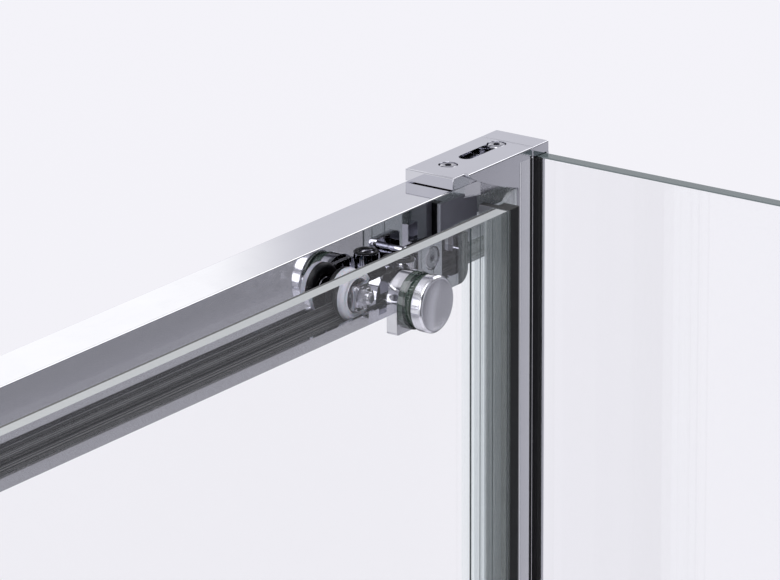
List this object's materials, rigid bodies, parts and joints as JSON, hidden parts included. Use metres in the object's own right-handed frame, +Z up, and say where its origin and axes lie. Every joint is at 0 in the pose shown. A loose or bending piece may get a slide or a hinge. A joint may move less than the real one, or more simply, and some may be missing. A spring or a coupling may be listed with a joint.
{
  "type": "sliding shower door",
  "caption": "Corner shower enclosure: a glass door hung on rollers slides along a chrome rail beside a fixed pane, with a glass side pane.",
  "frame": {"origin": "on the floor, at the centre of the enclosure's footprint", "axes": "+X along the rail away from the corner post, +Y into the shower, +Z up"},
  "size_m": [1.2, 0.8, 1.95],
  "materials": {
    "bright_aluminium": "bright polished and anodised",
    "chrome": "bright chrome plate",
    "steel": "plain bright steel",
    "satin_chrome": "satin chrome face with a bright bevel",
    "safety_glass": "clear toughened glass with polished edges",
    "black_rubber": "matt black",
    "clear_pvc": "clear extruded seal",
    "pale_plastic": "pale grey moulded plastic"
  },
  "bodies": {
    "frame": {"corner_post": "bright_aluminium", "side_channel": "bright_aluminium", "header_rail": "bright_aluminium", "front_wall_channel": "bright_aluminium", "side_wall_channel": "bright_aluminium", "side_sill": "bright_aluminium", "glazing_channel": "bright_aluminium", "fixed_sill": "bright_aluminium", "strike_profile": "bright_aluminium", "threshold": "bright_aluminium", "corner_bracket": "chrome", "channel_cap": "chrome", "strike_cap": "chrome", "track_end_cap": "chrome", "closing_stop": "chrome", "opening_stop": "chrome", "bracket_screws": "steel", "stop_screws": "steel", "plug_screw": "steel", "rail_corner_plug": "steel", "rail_wall_plug": "steel", "guide_pin": "steel", "guide_base": "steel", "side_glass": "safety_glass", "fixed_glass": "safety_glass", "corner_gasket": "black_rubber", "side_gaskets": "black_rubber", "fixed_gaskets": "black_rubber", "strike_magnet": "black_rubber", "fixed_edge_seal": "clear_pvc"},
    "door": {"door_glass": "safety_glass", "leading_seal": "clear_pvc", "door_magnet": "black_rubber", "trailing_seal": "clear_pvc", "drip_seal": "clear_pvc", "inner_handle": "chrome", "outer_handle": "chrome", "handle_bolts": "steel", "handle_washers": "clear_pvc", "front_carrier": "chrome", "front_back_plate": "chrome", "front_axle": "steel", "front_adjuster": "steel", "front_bush": "black_rubber", "rear_carrier": "chrome", "rear_back_plate": "chrome", "rear_axle": "steel", "rear_adjuster": "steel", "rear_bush": "black_rubber"},
    "front_wheel": {"front_wheel": "pale_plastic", "front_bearing": "steel"},
    "rear_wheel": {"rear_wheel": "pale_plastic", "rear_bearing": "steel"},
    "front_knob": {"front_knob": "satin_chrome"},
    "rear_knob": {"rear_knob": "satin_chrome"},
    "guide_jaw": {"guide_jaw": "pale_plastic"}
  },
  "joints": [
    {"name": "door_slide", "type": "slide", "parent": "frame", "child": "door", "axis": [1, 0, 0], "range_m": [0, 0.48]},
    {"name": "front_wheel_spin", "type": "hinge", "parent": "door", "child": "front_wheel", "pos_m": [-0.4645, -0.3735, 1.927], "axis": [0, 1, 0], "continuous": true},
    {"name": "rear_wheel_spin", "type": "hinge", "parent": "door", "child": "rear_wheel", "pos_m": [0.0155, -0.3735, 1.927], "axis": [0, 1, 0], "continuous": true},
    {"name": "front_knob_turn", "type": "hinge", "parent": "door", "child": "front_knob", "pos_m": [-0.4867, -0.3528, 1.9212], "axis": [0, 1, 0], "range_deg": [0, 90]},
    {"name": "rear_knob_turn", "type": "hinge", "parent": "door", "child": "rear_knob", "pos_m": [-0.0067, -0.3528, 1.9212], "axis": [0, 1, 0], "range_deg": [0, 90]},
    {"name": "guide_jaw_fold", "type": "hinge", "parent": "frame", "child": "guide_jaw", "pos_m": [0.0348, -0.3457, 0.0078], "axis": [-1, 0, 0], "range_deg": [0, 85]}
  ],
  "couplings": [
    {"joint": "front_wheel_spin", "follows": "door_slide", "rad_per_m": 105.26},
    {"joint": "rear_wheel_spin", "follows": "door_slide", "rad_per_m": 105.26}
  ]
}
